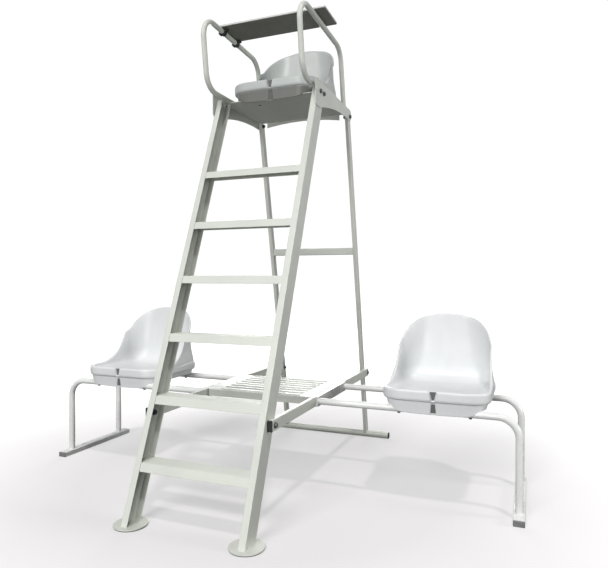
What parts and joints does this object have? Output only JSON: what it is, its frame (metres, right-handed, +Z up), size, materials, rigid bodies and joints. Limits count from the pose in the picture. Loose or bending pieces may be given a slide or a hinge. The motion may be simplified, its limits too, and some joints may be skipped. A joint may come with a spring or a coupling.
{
  "type": "tennis umpire chair",
  "caption": "Tall ladder chair with a raised bucket seat, looped armrests, a flip-over writing desk, a shelf and a bucket seat on a tubular bench at each side.",
  "frame": {"origin": "floor level, midway between the ladder feet and the rear floor bar, on the chair's middle plane", "axes": "+Z up, -Y towards the ladder (the front), +X to the right when facing the ladder"},
  "size_m": [2.373, 1.6486, 2.262],
  "materials": {
    "grey_coat": "semi-gloss powder coat",
    "white_coat": "gloss white powder coat",
    "umpire_seat_shell": "satin moulded polymer",
    "player_seat_shell": "satin moulded polymer",
    "desk_board": "coated flat board",
    "black_plastic": "matt black",
    "grey_plug": "matt grey",
    "pad_rubber": "matt",
    "dark_fastener": "dark plated"
  },
  "bodies": {
    "chair": {"armrest_plugs": "black_plastic", "bench_bolts": "dark_fastener", "bench_plugs": "grey_plug", "floor_bar_plugs": "black_plastic", "head_bolts": "dark_fastener", "head_nuts": "dark_fastener", "left_armrest": "grey_coat", "left_bench_bar": "white_coat", "left_bench_floor_bar": "white_coat", "left_bench_front_tube": "white_coat", "left_bench_rear_tube": "white_coat", "left_foot_pad": "pad_rubber", "left_foot_plate": "grey_coat", "left_player_seat": "player_seat_shell", "left_rail": "grey_coat", "left_rear_leg": "grey_coat", "left_side_plate": "grey_coat", "left_stile": "grey_coat", "leg_bolts": "dark_fastener", "leg_nuts": "dark_fastener", "pan_spacers": "black_plastic", "player_seat_screws": "dark_fastener", "rail_front_bolts": "dark_fastener", "rail_front_nuts": "dark_fastener", "rail_plugs": "black_plastic", "rail_rear_bolts": "dark_fastener", "rail_rear_nuts": "dark_fastener", "rear_crossbar": "grey_coat", "rear_floor_bar": "grey_coat", "right_armrest": "grey_coat", "right_bench_bar": "white_coat", "right_bench_floor_bar": "white_coat", "right_bench_front_tube": "white_coat", "right_bench_rear_tube": "white_coat", "right_foot_pad": "pad_rubber", "right_foot_plate": "grey_coat", "right_player_seat": "player_seat_shell", "right_rail": "grey_coat", "right_rear_leg": "grey_coat", "right_side_plate": "grey_coat", "right_stile": "grey_coat", "seat_pan": "grey_coat", "shelf_panel": "grey_coat", "step_1": "grey_coat", "step_2": "grey_coat", "step_3": "grey_coat", "step_4": "grey_coat", "step_5": "grey_coat", "step_6": "grey_coat", "umpire_seat": "umpire_seat_shell", "umpire_seat_screws": "dark_fastener"},
    "desk": {"desk_board": "desk_board", "front_desk_clip": "black_plastic", "rear_desk_clip": "black_plastic", "desk_clip_screws": "dark_fastener"}
  },
  "joints": [
    {"name": "desk_flip", "type": "hinge", "parent": "chair", "child": "desk", "pos_m": [-0.248, 0, 2.2173], "axis": [0, -0.9991, 0.043], "range_deg": [0, 250]}
  ]
}
